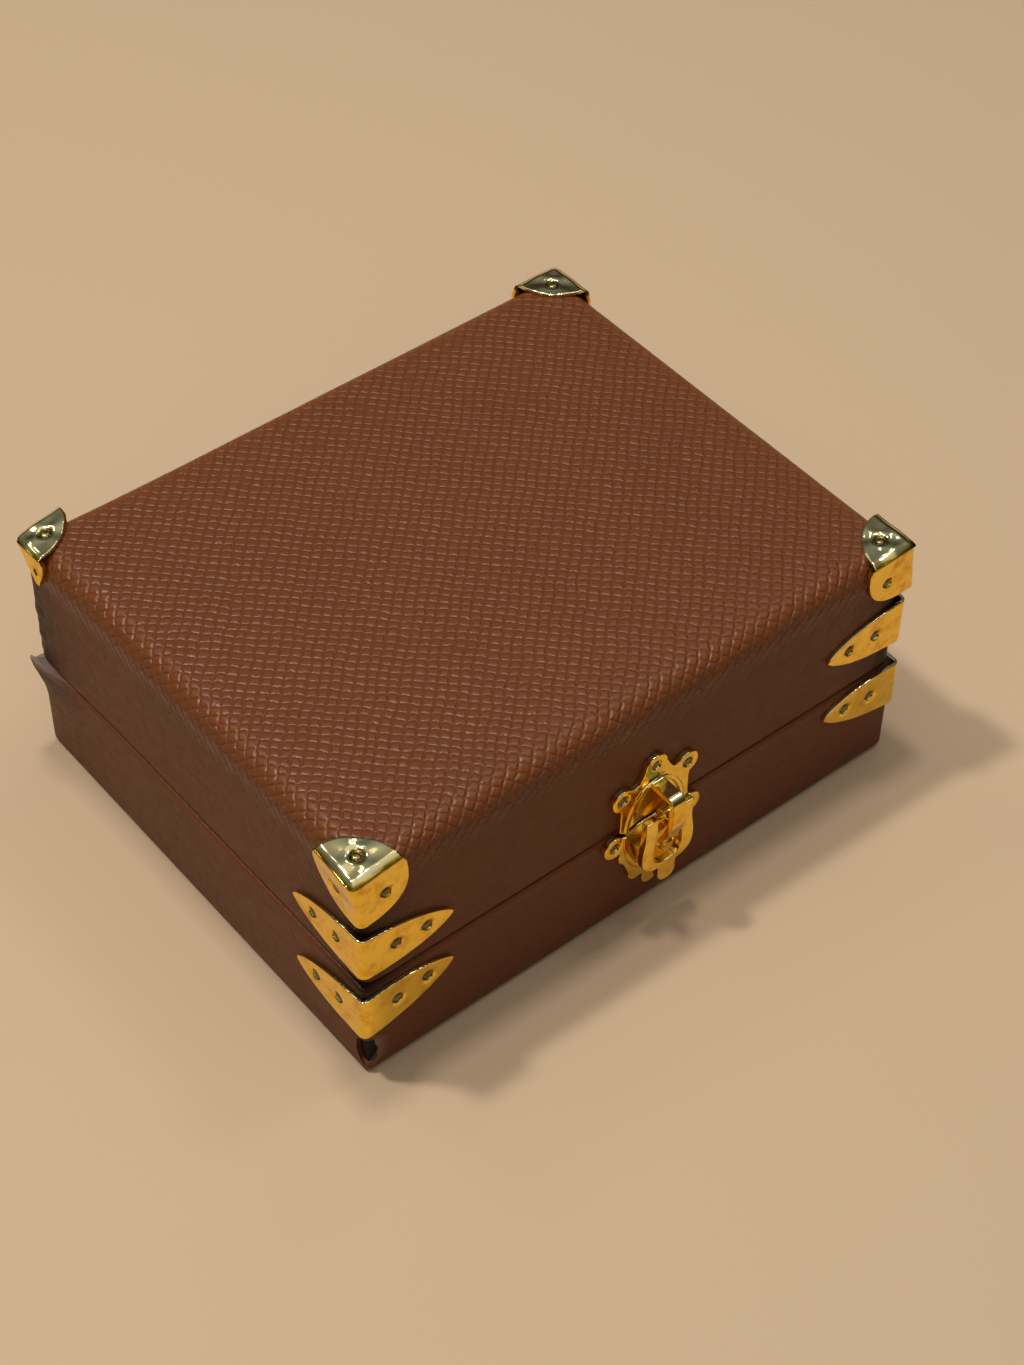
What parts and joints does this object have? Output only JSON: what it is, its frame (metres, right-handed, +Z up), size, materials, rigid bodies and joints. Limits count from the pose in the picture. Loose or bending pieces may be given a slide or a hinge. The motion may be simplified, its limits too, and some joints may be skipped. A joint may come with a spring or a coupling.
{
  "type": "jewellery case",
  "caption": "Small rectangular leather-covered jewellery case with a hinged lid, ring latch, metal corner caps and straps, and a lined tray with ring rolls.",
  "frame": {"origin": "middle of the flat underside, under the middle of the base", "axes": "+Z up, +X to the right seen from the latch side, -Y out of the front where the latch is; the longest side runs along X and the height along Z"},
  "size_m": [0.1024, 0.0904, 0.0442],
  "materials": {
    "leather": "brown cross-grain embossed leather, semi-matt",
    "gilt": "polished gilt, bright",
    "pin": "dull aged brass pins",
    "board": "black millboard",
    "lining": "short-pile beige suede cloth",
    "felt": "black felt",
    "foam": "thin foam sheet"
  },
  "bodies": {
    "base": {"base_floor_board": "board", "base_front_board": "board", "base_back_board": "board", "base_left_board": "board", "base_right_board": "board", "base_leather": "leather", "base_felt": "felt", "base_lining": "lining", "long_divider": "lining", "cross_divider": "lining", "ring_rolls": "lining", "base_strap_left": "gilt", "base_strap_right": "gilt", "base_strap_pins": "pin", "latch_lower_plate": "gilt", "latch_lower_pins": "pin", "hinge_left_base_leaf": "gilt", "hinge_right_base_leaf": "gilt", "hinge_left_pin": "gilt", "hinge_right_pin": "gilt", "hinge_base_nails": "pin"},
    "lid": {"lid_top_board": "board", "lid_front_board": "board", "lid_back_board": "board", "lid_left_board": "board", "lid_right_board": "board", "lid_foam": "foam", "lid_leather": "leather", "lid_lining": "lining", "lid_pad": "lining", "cap_front_left": "gilt", "cap_front_right": "gilt", "cap_back_left": "gilt", "cap_back_right": "gilt", "cap_pins": "pin", "lid_strap_left": "gilt", "lid_strap_right": "gilt", "lid_strap_pins": "pin", "latch_upper_plate": "gilt", "latch_upper_pins": "pin", "hinge_left_lid_leaf": "gilt", "hinge_right_lid_leaf": "gilt", "hinge_lid_nails": "pin"},
    "latch_ring": {"latch_ring": "gilt"}
  },
  "joints": [
    {"name": "lid_hinge", "type": "hinge", "parent": "base", "child": "lid", "pos_m": [0, 0.0423, 0.0191], "axis": [-1, 0, 0], "range_deg": [0, 105]},
    {"name": "ring_swing", "type": "hinge", "parent": "lid", "child": "latch_ring", "pos_m": [0.00135, -0.0445, 0.0223], "axis": [-1, 0, 0], "range_deg": [0, 160]}
  ]
}
